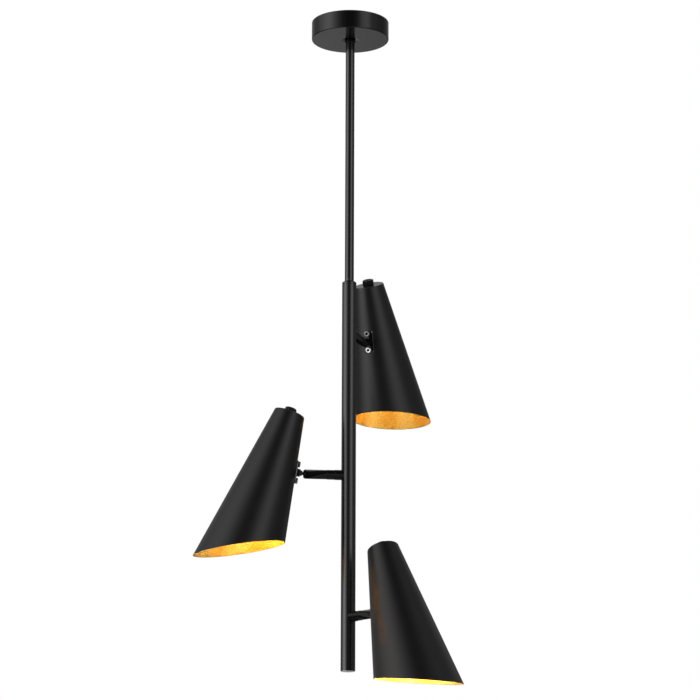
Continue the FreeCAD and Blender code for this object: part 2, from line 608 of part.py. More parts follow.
# ------------------------------------------------------------------ lamps
for k, lamp in zip("abc", LAMPS):
    A, L = arm_place(k), lamp_place(k)
    S = L.multiply(SHADE_PL)
    br = D["ball_dia"] / 2
    seat = cut(
        "ball_seat",
        cyl("seat_out", D["sleeve_bore"] / 2 - D["ball_gap"], 6.0, (P0 - 7.55, 0, 0), X),
        ball("seat_cup", br + D["ball_gap"], (P0, 0, 0), X),
        cyl("seat_hole", 2.7, 12, (P0 - 9, 0, 0), X),
    )
    keep("ball_seat_" + lamp, seat, A)

    g = D["plate_out"]
    pt = D["plate_thick"]
    hex_start = g - pt - 4.4
    swivel = fuse(
        "swivel_body",
        ball("swivel_ball", br, (0, 0, 0), X),
        cyl("swivel_stem", D["stem_dia"] / 2, D["neck_start"] - 2, (2.5, 0, 0), X),
        rounded("neck_round", cyl("swivel_neck", D["neck_dia"] / 2, hex_start - D["neck_start"] + 0.2, (D["neck_start"], 0, 0), X), ring_at(N["neck_dia"] / 2, N["neck_start"], 0), 0.5),
        prism("swivel_hex", 9.6, 3.4, (hex_start, 0, 0), X, 0),
        cyl("swivel_flange", 5.6, 1.0, (g - pt - 1.0, 0, 0), X),
        cyl("swivel_stub", D["swivel_stub"] / 2, pt + D["shade_sheet"] + 5.4, (g - pt, 0, 0), X),
    )
    swivel = cut(
        "swivel",
        swivel,
        cyl("swivel_bore", D["cable_bore"] / 2, 40, (-8, 0, 0), X),
        cone("swivel_funnel", 2.6, D["cable_bore"] / 2, 2.2, (-(D["ball_dia"] / 2), 0, 0), X),
    )
    keep("swivel_" + lamp, swivel, L)

    # nut and washer inside the shade
    i0 = g + D["shade_sheet"] + 0.6
    washer = cut("washer", cyl("washer_out", 5.8, 0.8, (i0, 0, 0), X), cyl("washer_in", D["swivel_stub"] / 2, 3, (i0 - 1, 0, 0), X))
    nut = cut("stub_nut", prism("stub_nut_hex", 9.0, 2.6, (i0 + 0.8, 0, 0), X), cyl("stub_nut_in", D["swivel_stub"] / 2, 5, (i0, 0, 0), X))
    keep("swivel_nut_" + lamp, group("swivel_nut", washer, nut), L)

    # curved plate on the shade's back
    t0, t1 = N["plate_drop"] - 26, N["plate_drop"] + 26
    down = -SHADE_Z

    def shell(extra, name):
        start = SHADE_O + down * t0
        return cone(name, cone_r(t0) + extra / math.cos(ALPHA), cone_r(t1) + extra / math.cos(ALPHA), t1 - t0, tuple(start), tuple(down))

    slab = box("plate_box", (12, D["plate_wide"], D["plate_len"]), (g - 6, -(D["plate_wide"] / 2), -(D["plate_len"] / 2)))
    slab = rounded("plate_corners", slab, lambda e: abs(e.Vertexes[0].X - e.Vertexes[-1].X) > 5, 4.0)
    plate = common("plate_curved", slab, cut("plate_shell", shell(N["plate_thick"], "plate_outer"), shell(0.0, "plate_inner")))
    zs = D["screw_gap"] / 2
    plate = cut(
        "plate",
        plate,
        cyl("plate_mid_hole", D["swivel_stub"] / 2, 20, (g - 10, 0, 0), X),
        cyl("plate_hole", D["screw_dia"] / 2, 20, (g - 10, 0, zs), X),
        cyl("plate_hole", D["screw_dia"] / 2, 20, (g - 10, 0, -zs), X),
    )
    keep("shade_bracket_" + lamp, plate, L)

    screws, nuts = [], []
    for s in (1, -1):
        sz = zs * s
        head = cyl("head", D["screw_head"] / 2, D["screw_head_tall"], (g - pt - D["screw_head_tall"], 0, sz), X)
        head = rounded("head_dome", head, ring_at(N["screw_head"] / 2, N["plate_out"] - N["plate_thick"] - N["screw_head_tall"], 0), 0.8)
        shank = cyl("shank", D["screw_dia"] / 2, pt + D["shade_sheet"] + 4.6, (g - pt, 0, sz), X)
        socket = prism("socket", 3.6, 1.8, (g - pt - D["screw_head_tall"] - 0.1, 0, sz), X)
        screws.append(cut("bracket_screw", fuse("screw_body", head, shank), socket))
        n0 = g + D["shade_sheet"] + 0.3
        nuts.append(cut("bracket_nut", prism("bracket_nut_hex", 7.0, 3.2, (n0, 0, sz), X), cyl("bracket_nut_in", D["screw_dia"] / 2, 6, (n0 - 1, 0, sz), X)))
    keep("bracket_screws_" + lamp, group("bracket_screws", *screws), L)
    keep("bracket_nuts_" + lamp, group("bracket_nuts", *nuts), L)

    # the shade: turned cone with a flat top, then its oblique cut and its holes
    far = 262.0
    rt, th = D["shade_top_r"], D["shade_sheet"]
    skin = th * (1 / math.cos(ALPHA))
    body = revolved(
        "shade",
        [
            (D["nipple_dia"] / 2 + 0.1, 0),
            (rt, 0),
            (rt + far * TAN_A, -far),
            (rt + far * TAN_A - skin, -far),
            (rt - skin + th * TAN_A, -th),
            (D["nipple_dia"] / 2 + 0.1, -th),
        ],
    )
    kappa = math.radians(N["shade_cut"])
    wedge = doc.addObject("Part::Box", unique("oblique_cut"))
    bind(wedge, Length=400, Width=300, Height=200)
    cut_turn = FreeCAD.Rotation(V(0, 1, 0), N["shade_cut"])
    corner = V(0, 0, -N["shade_axis_len"]) + cut_turn.multVec(V(-200, -150, -200))
    wedge.Placement = FreeCAD.Placement(corner, cut_turn)
    inv = SHADE_PL.inverse()

    def back_hole(r, zz):
        p = inv.multVec(V(N["plate_out"] - 8, 0, zz))
        ax = inv.Rotation.multVec(V(1, 0, 0))
        return cyl("back_hole", r, 16, tuple(p), tuple(ax))

    shade = cut(
        "shade",
        body,
        wedge,
        back_hole(D["swivel_stub"] / 2, 0.0),
        back_hole(D["screw_dia"] / 2, N["screw_gap"] / 2),
        back_hole(D["screw_dia"] / 2, -N["screw_gap"] / 2),
    )
    keep("shade_" + lamp, shade, S)

    # nut on the flat top, nipple, lampholder and lamp
    hx = prism("top_nut_hex", D["hexnut_flats"], D["hexnut_height"], (0, 0, 0), Z, 15)
    dome = cone("top_nut_bevel", 11.5, 6.6, 4.9, (0, 0, D["hexnut_height"] - 4.4))
    dome = fuse("top_nut_round", dome, cyl("top_nut_low", 11.5, D["hexnut_height"] - 4.4, (0, 0, 0)))
    hx = cut("top_nut", common("top_nut_form", hx, dome), cyl("top_nut_hole", D["nipple_dia"] / 2, 12, (0, 0, -2)))
    keep("shade_nut_" + lamp, hx, S)
    pin = cut("holder_pin", cyl("holder_pin_out", D["nipple_dia"] / 2, 12.6, (0, 0, -8)), cyl("holder_pin_in", D["nipple_bore"] / 2, 14, (0, 0, -9)))
    keep("holder_nipple_" + lamp, pin, S)
    hr = D["holder_dia"] / 2
    holder = revolved(
        "lampholder",
        [
            (D["nipple_dia"] / 2, -th),
            (hr - 4, -th),
            (hr, -th - 5),
            (hr, -th - 24),
            (hr - 0.8, -th - 24.8),
            (hr - 0.8, -D["holder_len"]),
            (D["cap_dia"] / 2 + 0.05, -D["holder_len"]),
            (D["cap_dia"] / 2 + 0.05, -27.0),
            (3.0, -27.0),
            (3.0, -8.0),
            (D["nipple_dia"] / 2, -8.0),
        ],
    )
    side_port = cyl("holder_port", 1.35, 8.0, (-(D["holder_dia"] / 2) - 2, 0, -15.5), X)
    keep("lampholder_" + lamp, cut("holder", holder, side_port), S)
    cap = fuse("lamp_cap", cyl("cap_out", D["cap_dia"] / 2, 22.6, (0, 0, -51.6)), cone("cap_end", D["cap_dia"] / 2, 4.5, 1.4, (0, 0, -29.0)), cyl("cap_tip", 2.2, 0.5, (0, 0, -27.6)))
    keep("bulb_base_" + lamp, cap, S)
    bc = -D["bulb_centre"]
    outer = fuse("glass_out", ball("glass_ball", D["bulb_dia"] / 2, (0, 0, bc)), cone("glass_neck", 14.6, 7.4, 12.4, (0, 0, -64.0)))
    inner = fuse("glass_in", ball("glass_ball_in", D["bulb_dia"] / 2 - 0.8, (0, 0, bc)), cone("glass_neck_in", 13.8, 6.6, 12.4, (0, 0, -64.0)), cyl("glass_mouth", 6.6, 3, (0, 0, -52.5)))
    keep("bulb_glass_" + lamp, cut("bulb_glass", outer, inner), S)

# ------------------------------------------------------------------ leads held inside the stem and the shades
ld = N["lead_dia"]
pole_x = {"a": 0.0, "b": N["pole_pitch"], "c": -N["pole_pitch"]}
leads = []
for k in "abc":
    flat, x, z, o = arm_axes(k)
    ring, core = N["lead_ring"], N["lead_core"]
    start = o + x * (N["pivot_out"] - 5.7)
    # the bend's corner lies on the vertical run behind the tube's axis
    corner = o - x * (ring / x.dot(flat))
    back = flat * -1
    high = {"a": -2.0, "b": -5.2, "c": -5.2}[k]
    px = pole_x[k]
    pts = [start, corner]
    pts.append(back * ring + V(0, 0, -432))
    pts.append(back * core + V(0, 0, -406))
    pts.append(back * core + V(0, 0, high))
    pts.append(V(px * 0.75, 10.5, high + (-1.6 if k == "a" else -0.2)))
    pts.append(V(px, 15.0, wire_z))
    pts.append(V(px, 21.0, wire_z))
    # large arcs in the tube, small ones at the nipple
    P = [tuple(p) for p in pts]
    solid, radii = None, None
    path_edges = []
    limits = [9.0, 400.0, 400.0, 3.0, 6.0, 6.0]
    last = V(*P[0])
    for i in range(1, len(P) - 1):
        a, b, c = V(*P[i - 1]), V(*P[i]), V(*P[i + 1])
        u, w = (b - a), (c - b)
        lu, lw = u.Length, w.Length
        u, w = u / lu, w / lw
        turn = math.acos(max(-1.0, min(1.0, u.dot(w))))
        r = min(0.45 * min(lu, lw) / math.tan(turn / 2), limits[i - 1])
        back_off = r * math.tan(turn / 2)
        s, e = b - u * back_off, b + w * back_off
        bis = (w - u)
        bis.normalize()
        centre = b + bis * (r / math.cos(turn / 2))
        path_edges.append(Part.makeLine(last, s))
        path_edges.append(Part.Arc(s, centre - bis * r, e).toShape())
        last = e
        print("lead", k, "bend", i, "radius", round(r, 1))
    path_edges.append(Part.makeLine(last, V(*P[-1])))
    wire = Part.Wire(path_edges)
    first = V(*P[1]) - V(*P[0])
    first.normalize()
    solid = wire.makePipeShell([Part.Wire([Part.makeCircle(ld / 2, V(*P[0]), first)])], True, False)
    want = math.pi * ld * ld / 4 * wire.Length
    if abs(solid.Volume - want) > 0.01 * want:
        raise RuntimeError("lead volume")
    f = doc.addObject("Part::Feature", unique("stem_lead"))
    f.Shape = solid
    leads.append(f)
keep("stem_leads", group("stem_leads", *leads))

for k, lamp in zip("abc", LAMPS):
    L = lamp_place(k)
    turn_z = N["plate_out"] + 10.6

    def in_lamp(a, b):
        q = SHADE_PL.multVec(V(a, 0, b))
        return (q.x, q.y, q.z)

    pts = [(-2.4, 0, 0), (turn_z, 0, 0), in_lamp(-19.3, -32.0), in_lamp(-17.0, -15.5), in_lamp(-9.6, -15.5)]
    solid, radii = route(pts, ld, 4.2)
    print("tail", lamp, "bends", radii)
    f = doc.addObject("Part::Feature", unique("lamp_lead"))
    f.Shape = solid
    keep("lamp_lead_" + lamp, f, L)

# ------------------------------------------------------------------ check and write
doc.recompute()
bad = [o.Name for o in doc.Objects if "Invalid" in o.State or "Error" in o.State]
if bad:
    raise RuntimeError("failed objects: %s" % bad)
os.makedirs("parts", exist_ok=True)
names = [n for n, _ in kept]
if len(set(names)) != len(names) or len(names) > 60:
    raise RuntimeError("node names: %d" % len(names))
for node, o in kept:
    s = o.Shape
    if s.isNull() or not s.isValid() or not s.Solids:
        raise RuntimeError("bad shape " + node)
for node, o in kept:
    o.Shape.exportStep("parts/%s.step" % node)
box_all = Part.makeCompound([o.Shape for _, o in kept]).BoundBox
print("nodes", len(kept), "solids", sum(len(o.Shape.Solids) for _, o in kept), box_all)
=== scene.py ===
import bpy
import json
import math
from mathutils import Matrix, Vector


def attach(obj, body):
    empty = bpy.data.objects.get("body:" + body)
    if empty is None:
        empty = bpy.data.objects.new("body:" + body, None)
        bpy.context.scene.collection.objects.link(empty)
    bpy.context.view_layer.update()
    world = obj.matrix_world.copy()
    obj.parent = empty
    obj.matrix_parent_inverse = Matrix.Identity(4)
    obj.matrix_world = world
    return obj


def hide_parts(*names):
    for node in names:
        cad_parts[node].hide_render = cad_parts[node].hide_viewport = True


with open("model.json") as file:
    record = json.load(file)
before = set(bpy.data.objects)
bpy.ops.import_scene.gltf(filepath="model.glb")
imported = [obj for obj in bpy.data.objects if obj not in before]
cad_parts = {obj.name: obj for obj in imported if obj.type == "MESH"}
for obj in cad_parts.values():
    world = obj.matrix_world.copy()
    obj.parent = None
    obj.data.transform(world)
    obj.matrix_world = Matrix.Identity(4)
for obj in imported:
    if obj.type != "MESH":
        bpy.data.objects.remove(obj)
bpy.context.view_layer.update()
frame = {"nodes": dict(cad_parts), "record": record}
NODES = frame["nodes"]
MM = 0.001
scene = bpy.context.scene

# ------------------------------------------------------------------ sizes, in millimetres and degrees
ARM = {
    "upper": dict(z=-455.6, turn=157.8, lean=15.7, roll=0.3),
    "middle": dict(z=-655.0, turn=-81.9, lean=8.3, roll=0.5),
    "lower": dict(z=-850.6, turn=36.4, lean=13.0, roll=-1.4),
}
PIVOT = 58.4
PLATE_OUT = 14.8
PLATE_DROP = 75.3
TOP_R = 21.3
ALPHA = math.radians(9.88)
TAN_A = math.tan(ALPHA)
CUT = math.tan(math.radians(27.0))
AXIS_LEN = 199.4
SHEET = 1.0
SKIN = SHEET / math.cos(ALPHA)


def columns(x, y, z, o):
    return Matrix(((x[0], y[0], z[0], o[0]), (x[1], y[1], z[1], o[1]), (x[2], y[2], z[2], o[2]), (0, 0, 0, 1)))


def arm_axes(lamp):
    a = ARM[lamp]
    psi = math.radians(a["turn"])
    return Vector((math.sin(psi), -math.cos(psi), 0)), Vector((0, 0, 1)), Vector((0, 0, a["z"]))


def arm_frame(lamp):
    """Origin on the tube's axis, X out along the arm, Z up."""
    x, z, o = arm_axes(lamp)
    return columns(x, z.cross(x), z, o)


def lamp_frame(lamp):
    """Origin at the ball's centre, X along the neck, Z up the shade's back."""
    x, z, o = arm_axes(lamp)
    lean = math.radians(ARM[lamp]["lean"])
    turn = Matrix.Rotation(math.radians(ARM[lamp]["roll"]), 3, x)
    nx = turn @ (x * math.cos(lean) + z * math.sin(lean))
    nz = turn @ (x * -math.sin(lean) + z * math.cos(lean))
    return columns(nx, nz.cross(nx), nz, o + x * PIVOT)


SZ = Vector((-math.sin(ALPHA), 0, math.cos(ALPHA)))
SX = Vector((math.cos(ALPHA), 0, math.sin(ALPHA)))
SO = Vector((PLATE_OUT, 0, 0)) + SZ * PLATE_DROP + SX * (TOP_R + PLATE_DROP * TAN_A)


def shade_frame(lamp):
    """Origin at the middle of the flat top, Z up its axis, X to its long side."""
    return lamp_frame(lamp) @ columns(SX, SZ.cross(SX), SZ, SO)


ALONG_X = Matrix(((0, 0, 1, 0), (0, 1, 0, 0), (-1, 0, 0, 0), (0, 0, 0, 1)))  # carries a turned piece's Z to X


# ------------------------------------------------------------------ mesh makers
def add_mesh(name, verts, faces, mats, where=None, body="root", replaces=(), slot=None, face_mats=None, flat=()):
    """verts in millimetres in a local frame; where carries them to the row frame."""
    where = where or Matrix.Identity(4)
    mesh = bpy.data.meshes.new(name)
    mesh.from_pydata([(where @ Vector(v)) * MM for v in verts], [], faces)
    for m in mats:
        mesh.materials.append(m)
    flat = set(flat)
    for i, p in enumerate(mesh.polygons):
        p.use_smooth = i not in flat
        if face_mats:
            p.material_index = face_mats[i]
    mesh.validate()
    mesh.update()
    ob = bpy.data.objects.new(name, mesh)
    scene.collection.objects.link(ob)
    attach(ob, body)
    if replaces:
        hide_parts(*replaces)
    return ob


def soft(points, radii, seg=5, support=0.35):
    """Rounds the corners of a half section and holds the flats beside each rounding."""
    out = []
    n = len(points)
    for i, (p, r) in enumerate(zip(points, radii)):
        p = Vector(p)
        if r <= 0 or i in (0, n - 1):
            out.append(tuple(p))
            continue
        a, b = Vector(points[i - 1]) - p, Vector(points[i + 1]) - p
        la, lb = a.length, b.length
        a.normalize()
        b.normalize()
        half = a.angle(b) / 2
        back = r / math.tan(half)
        back = min(back, la * 0.48, lb * 0.48)
        r = back * math.tan(half)
        s, e = p + a * back, p + b * back
        extra_a, extra_b = min(support, (la - back) * 0.3), min(support, (lb - back) * 0.3)
        c = p + (a + b).normalized() * (r / math.sin(half))
        out.append(tuple(s + a * extra_a))
        u, w = s - c, e - c
        total = u.angle(w)
        for k in range(seg + 1):
            t = k / seg
            v = (u * math.sin((1 - t) * total) + w * math.sin(t * total)) / math.sin(total)
            out.append(tuple(c + v))
        out.append(tuple(e + b * extra_b))
    return out


def split_long(profile, most):
    """Divides long runs so that faces stay well shaped."""
    out = [profile[0]]
    for a, b in zip(profile, profile[1:]):
        d = math.hypot(b[0] - a[0], b[1] - a[1])
        n = max(1, int(math.ceil(d / most)))
        for k in range(1, n + 1):
            t = k / n
            out.append((a[0] + (b[0] - a[0]) * t, a[1] + (b[1] - a[1]) * t))
    return out


def lathe(name, profile, mats, where=None, seg=96, closed=True, most=40.0, bulge=None, **keys):
    """A turned piece from (radius, height) points; closed joins the last point to the first."""
    pts = list(profile)
    if closed:
        pts = split_long(pts + [pts[0]], most)[:-1]
    else:
        pts = split_long(pts, most)
    verts, rings = [], []
    for r, z in pts:
        if abs(r) < 1e-6:
            rings.append([len(verts)])
            verts.append((0, 0, z))
            continue
        ring = []
        for k in range(seg):
            a = 2 * math.pi * k / seg
            rr = r if bulge is None else bulge(r, z, a)
            ring.append(len(verts))
            verts.append((rr * math.cos(a), rr * math.sin(a), z))
        rings.append(ring)
    faces = []
    pairs = list(zip(rings, rings[1:]))
    if closed:
        pairs.append((rings[-1], rings[0]))
    for a, b in pairs:
        faces += between(a, b)
    return add_mesh(name, verts, faces, mats, where, **keys)


def between(a, b):
    n = max(len(a), len(b))
    out = []
    if len(a) == 1 and len(b) == 1:
        return out
    for k in range(n):
        j = (k + 1) % n
        if len(a) == 1:
            out.append((a[0], b[j], b[k]))
        elif len(b) == 1:
            out.append((a[k], a[j], b[0]))
        else:
            out.append((a[k], a[j], b[j], b[k]))
    return out


def rings_mesh(name, rings, mats, where=None, **keys):
    """A closed or open skin through rings of points; a ring may be a single point."""
    verts, idx = [], []
    for ring in rings:
        row = []
        for p in ring:
            row.append(len(verts))
            verts.append(tuple(p))
        idx.append(row)
    faces = []
    for a, b in zip(idx, idx[1:]):
        faces += between(a, b)
    return add_mesh(name, verts, faces, mats, where, **keys)


def hex_r(flats, a, spin=0.0):
    """Radius of a hexagon at an angle, its corners slightly rounded."""
    b = (a - spin) % (math.pi / 3) - math.pi / 6
    r = flats / 2 / math.cos(b)
    top = flats / 2 / math.cos(math.pi / 6) * 0.985
    return min(r, top)


def hex_angles(per_side=12, spin=0.0):
    out = []
    for s in range(6):
        for k in range(per_side):
            u = k / per_side
            # closer together at the corners
            w = 0.5 - 0.5 * math.cos(math.pi * u)
            out.append(spin + (s + w) * math.pi / 3)
    return out


def circle(r, z, angles):
    return [(r * math.cos(a), r * math.sin(a), z) for a in angles]


def hexring(flats, z, angles, spin=0.0, grow=0.0):
    return [((hex_r(flats, a, spin) + grow) * math.cos(a), (hex_r(flats, a, spin) + grow) * math.sin(a), z) for a in angles]


# ------------------------------------------------------------------ materials
def new_material(name):
    m = bpy.data.materials.new(name)
    m.use_nodes = True
    nt = m.node_tree
    b = next(n for n in nt.nodes if n.bl_idname == "ShaderNodeBsdfPrincipled")
    return m, nt, b


def put(nt, kind, **keys):
    n = nt.nodes.new(kind)
    for k, v in keys.items():
        if k.startswith("in_"):
            n.inputs[k[3:].replace("_", " ")].default_value = v
        else:
            setattr(n, k, v)
    return n


def ramp(nt, source, stops):
    r = nt.nodes.new("ShaderNodeValToRGB")
    e = r.color_ramp.elements
    while len(e) > len(stops):
        e.remove(e[-1])
    while len(e) < len(stops):
        e.new(0.5)
    for el, (pos, col) in zip(e, stops):
        el.position = pos
        el.color = (col, col, col, 1) if isinstance(col, (int, float)) else tuple(col) + (1,)
    nt.links.new(source, r.inputs["Fac"])
    return r.outputs["Color"]


def coated(name, colour, rough, grain, bump, mottle=0.12, spec=0.5, coat=0.0, rough_swing=0.06, metallic=0.0, depth=0.00006):
    """A painted or coated surface: a fine orange-peel grain, slight mottling of tone and gloss."""
    m, nt, b = new_material(name)
    co = put(nt, "ShaderNodeTexCoord").outputs["Object"]
    fine = put(nt, "ShaderNodeTexNoise", in_Scale=grain, in_Detail=3.0, in_Roughness=0.6)
    broad = put(nt, "ShaderNodeTexNoise", in_Scale=grain * 0.12, in_Detail=4.0, in_Roughness=0.55)
    nt.links.new(co, fine.inputs["Vector"])
    nt.links.new(co, broad.inputs["Vector"])
    lo = tuple(c * (1 - mottle) for c in colour)
    hi = tuple(c * (1 + mottle) for c in colour)
    nt.links.new(ramp(nt, broad.outputs["Fac"], [(0.3, lo), (0.7, hi)]), b.inputs["Base Color"])
    nt.links.new(ramp(nt, fine.outputs["Fac"], [(0.25, rough - rough_swing), (0.75, rough + rough_swing)]), b.inputs["Roughness"])
    bp = put(nt, "ShaderNodeBump", in_Strength=bump, in_Distance=depth)
    nt.links.new(fine.outputs["Fac"], bp.inputs["Height"])
    nt.links.new(bp.outputs["Normal"], b.inputs["Normal"])
    b.inputs["Specular IOR Level"].default_value = spec
    b.inputs["Metallic"].default_value = metallic
    if coat:
        b.inputs["Coat Weight"].default_value = coat
        b.inputs["Coat Roughness"].default_value = 0.12
    return m


def metal(name, colour, rough, grain, bump, swing=0.08, streak=None):
    """Bare or plated metal with fine turned or rolled marks."""
    m, nt, b = new_material(name)
    co = put(nt, "ShaderNodeTexCoord").outputs["Object"]
    mp = put(nt, "ShaderNodeMapping")
    if streak:
        mp.inputs["Scale"].default_value = streak
    nt.links.new(co, mp.inputs["Vector"])
    fine = put(nt, "ShaderNodeTexNoise", in_Scale=grain, in_Detail=4.0, in_Roughness=0.6)
    nt.links.new(mp.outputs["Vector"], fine.inputs["Vector"])
    lo = tuple(c * 0.88 for c in colour)
    nt.links.new(ramp(nt, fine.outputs["Fac"], [(0.3, lo), (0.7, colour)]), b.inputs["Base Color"])
    nt.links.new(ramp(nt, fine.outputs["Fac"], [(0.25, rough - swing), (0.75, rough + swing)]), b.inputs["Roughness"])
    bp = put(nt, "ShaderNodeBump", in_Strength=bump, in_Distance=0.00004)
    nt.links.new(fine.outputs["Fac"], bp.inputs["Height"])
    nt.links.new(bp.outputs["Normal"], b.inputs["Normal"])
    b.inputs["Metallic"].default_value = 1.0
    return m


SATIN = coated("satin_black", (0.0040, 0.0040, 0.0041), 0.20, 1500.0, 0.08, spec=0.7)
SATIN_TUBE = coated("satin_black_tube", (0.0040, 0.0040, 0.0041), 0.26, 1500.0, 0.08, spec=0.7)
CANOPY = coated("satin_black_canopy", (0.0042, 0.0043, 0.0042), 0.18, 1500.0, 0.08, spec=0.34, rough_swing=0.04)
MATTE = coated("matte_black_shade", (0.0040, 0.0040, 0.0041), 0.385, 1100.0, 0.18, mottle=0.18, spec=0.42)
GLOSS = coated("gloss_black", (0.0030, 0.0030, 0.0031), 0.15, 900.0, 0.06, spec=0.32, rough_swing=0.04)
# a light metal colour for the plate's bevel: a painted highlight line
PLATE_EDGE_HIGHLIGHT = coated("plate_edge_painted_highlight", (0.17, 0.17, 0.175), 0.24, 1200.0, 0.10, metallic=1.0)
# The nut's top faces take a lighter copy of its black as a painted highlight, its sides a darker copy as painted shade.
NUT_TOP_LIT = coated("nut_top_painted_highlight", (0.0060, 0.0060, 0.0062), 0.30, 900.0, 0.12, spec=0.85)
NUT_SIDES_SHADED = coated("nut_sides_painted_shade", (0.0022, 0.0022, 0.0023), 0.10, 1200.0, 0.05, spec=0.08, rough_swing=0.03)
ZINC = metal("zinc_plate", (0.72, 0.73, 0.75), 0.30, 900.0, 0.15)
PLUG = metal("satin_plug", (0.74, 0.74, 0.75), 0.42, 900.0, 0.12)
STEEL = metal("steel_screw", (0.62, 0.62, 0.63), 0.24, 1200.0, 0.10)
# a darker copy of the screw steel: painted shade for the upper screw of each plate
STEEL_SHADED = metal("steel_screw_painted_shade", (0.20, 0.20, 0.21), 0.30, 1200.0, 0.14)
SOCKET = coated("socket_shadow", (0.006, 0.006, 0.006), 0.6, 1200.0, 0.10, spec=0.1)
BRASS = metal("brass", (0.78, 0.58, 0.26), 0.30, 1000.0, 0.12)
CAP = metal("lamp_cap", (0.78, 0.78, 0.80), 0.28, 1200.0, 0.10)
WHITE = coated("white_plastic", (0.78, 0.78, 0.74), 0.42, 900.0, 0.08, mottle=0.03)
BLACKP = coated("black_plastic", (0.02, 0.02, 0.02), 0.38, 1200.0, 0.10)
NYLON = coated("nylon", (0.62, 0.60, 0.54), 0.45, 900.0, 0.08, mottle=0.04)
LEAD = coated("lead_sheath", (0.022, 0.022, 0.023), 0.48, 800.0, 0.10)


def gold():
    """Sparkling gold lacquer; its soft lighter and darker streaks are painted sheen."""
    m, nt, b = new_material("gold_lacquer")
    co = put(nt, "ShaderNodeTexCoord").outputs["Object"]
    # bands along X, lighter and darker, paint the lining's sheen into its colour
    sheen_bands = put(nt, "ShaderNodeTexWave", in_Scale=6.83, in_Distortion=1.2, in_Detail=2.0, in_Detail_Scale=2.0, in_Phase_Offset=4.5)
    broad = put(nt, "ShaderNodeTexNoise", in_Scale=45.0, in_Detail=3.0, in_Roughness=0.5)
    grain = put(nt, "ShaderNodeTexNoise", in_Scale=480.0, in_Detail=2.0, in_Roughness=0.6)
    fine = put(nt, "ShaderNodeTexNoise", in_Scale=900.0, in_Detail=3.0, in_Roughness=0.7)
    for n in (sheen_bands, broad, grain, fine):
        nt.links.new(co, n.inputs["Vector"])

    def weigh(source, weight, before):
        n = put(nt, "ShaderNodeMath", operation="MULTIPLY_ADD")
        nt.links.new(source, n.inputs[0])
        n.inputs[1].default_value = weight
        if before is None:
            n.inputs[2].default_value = 0.0
        else:
            nt.links.new(before, n.inputs[2])
        return n.outputs[0]

    mixed = weigh(grain.outputs["Fac"], 1.1, weigh(broad.outputs["Fac"], 0.15, weigh(sheen_bands.outputs["Fac"], 0.27, None)))
    nt.links.new(ramp(nt, mixed, [(0.48, (0.90, 0.465, 0.045)), (0.75, (0.95, 0.625, 0.10)), (0.97, (1.0, 0.80, 0.21))]), b.inputs["Base Color"])
    nt.links.new(ramp(nt, fine.outputs["Fac"], [(0.25, 0.30), (0.75, 0.48)]), b.inputs["Roughness"])
    bp = put(nt, "ShaderNodeBump", in_Strength=0.5, in_Distance=0.00025)
    nt.links.new(fine.outputs["Fac"], bp.inputs["Height"])
    nt.links.new(bp.outputs["Normal"], b.inputs["Normal"])
    b.inputs["Metallic"].default_value = 0.7
    return m


GOLD = gold()


def opal(name, colour, strength):
    m, nt, b = new_material(name)
    co = put(nt, "ShaderNodeTexCoord").outputs["Object"]
    n = put(nt, "ShaderNodeTexNoise", in_Scale=120.0, in_Detail=2.0)
    nt.links.new(co, n.inputs["Vector"])
    nt.links.new(ramp(nt, n.outputs["Fac"], [(0.3, (0.86, 0.85, 0.82)), (0.7, (0.90, 0.89, 0.87))]), b.inputs["Base Color"])
    b.inputs["Roughness"].default_value = 0.22
    b.inputs["Coat Weight"].default_value = 0.6
    b.inputs["Coat Roughness"].default_value = 0.05
    b.inputs["Emission Color"].default_value = colour + (1,)
    b.inputs["Emission Strength"].default_value = strength
    return m


OPAL = opal("lamp_glass", (1.0, 0.86, 0.62), 62.0)
OPAL_MID = opal("lamp_glass_mid", (1.0, 0.90, 0.66), 88.0)
OPAL_LOW = opal("lamp_glass_low", (1.0, 1.0, 1.0), 310.0)
LAMPS = {"bulb_glass_upper": OPAL, "bulb_glass_middle": OPAL_MID, "bulb_glass_lower": OPAL_LOW}

BY_SLOT = {
    "satin_black": SATIN, "matte_black_shade": MATTE, "gloss_black": GLOSS, "zinc_plate": ZINC, "steel_screw": STEEL,
    "brass": BRASS, "lamp_cap": CAP, "white_plastic": WHITE, "black_plastic": BLACKP, "nylon": NYLON,
    "lead_sheath": LEAD, "lamp_glass": OPAL,
}
slot_of = {s["node"]: s["material_slot"] for s in frame["record"]["subparts"]}
for n, ob in NODES.items():
    m = LAMPS.get(n) or BY_SLOT[slot_of[n]]
    for i in range(len(ob.material_slots)):
        ob.material_slots[i].material = m

# ------------------------------------------------------------------ canopy, rod, tube
NIP = 5.1
lathe(
    "canopy_shell",
    soft(
        [(NIP, -24.4), (NIP, -25.6), (54.8, -25.6), (54.8, 0), (53.6, 0), (53.6, -24.4), (NIP, -24.4)],
        [0, 0, 1.4, 0.35, 0.35, 0.6, 0],
        seg=7,
    )[:-1],
    [CANOPY], seg=192, most=8.0, replaces=["canopy_cover"], slot="satin_black",
)
lathe(
    "lock_collar",
    soft([(5, -25.6), (7.1, -25.6), (7.1, -30.1), (6.5, -30.7), (5, -30.7), (5, -25.6)], [0, 0.25, 0.3, 0.3, 0, 0], seg=4, support=0.12)[:-1],
    [GLOSS], seg=96, replaces=["canopy_collar"], slot="satin_black",
)
lathe(
    "rod_shell",
    soft(
        [(4.5, -388.6), (6.35, -388.6), (6.35, -30.7), (5.0, -30.7), (5.0, -42.7), (4.5, -42.7), (4.5, -388.6)],
        [0, 0, 0.35, 0, 0, 0, 0],
        seg=4,
    )[:-1],
    [SATIN], seg=96, most=12.0, replaces=["down_rod"], slot="satin_black",
)
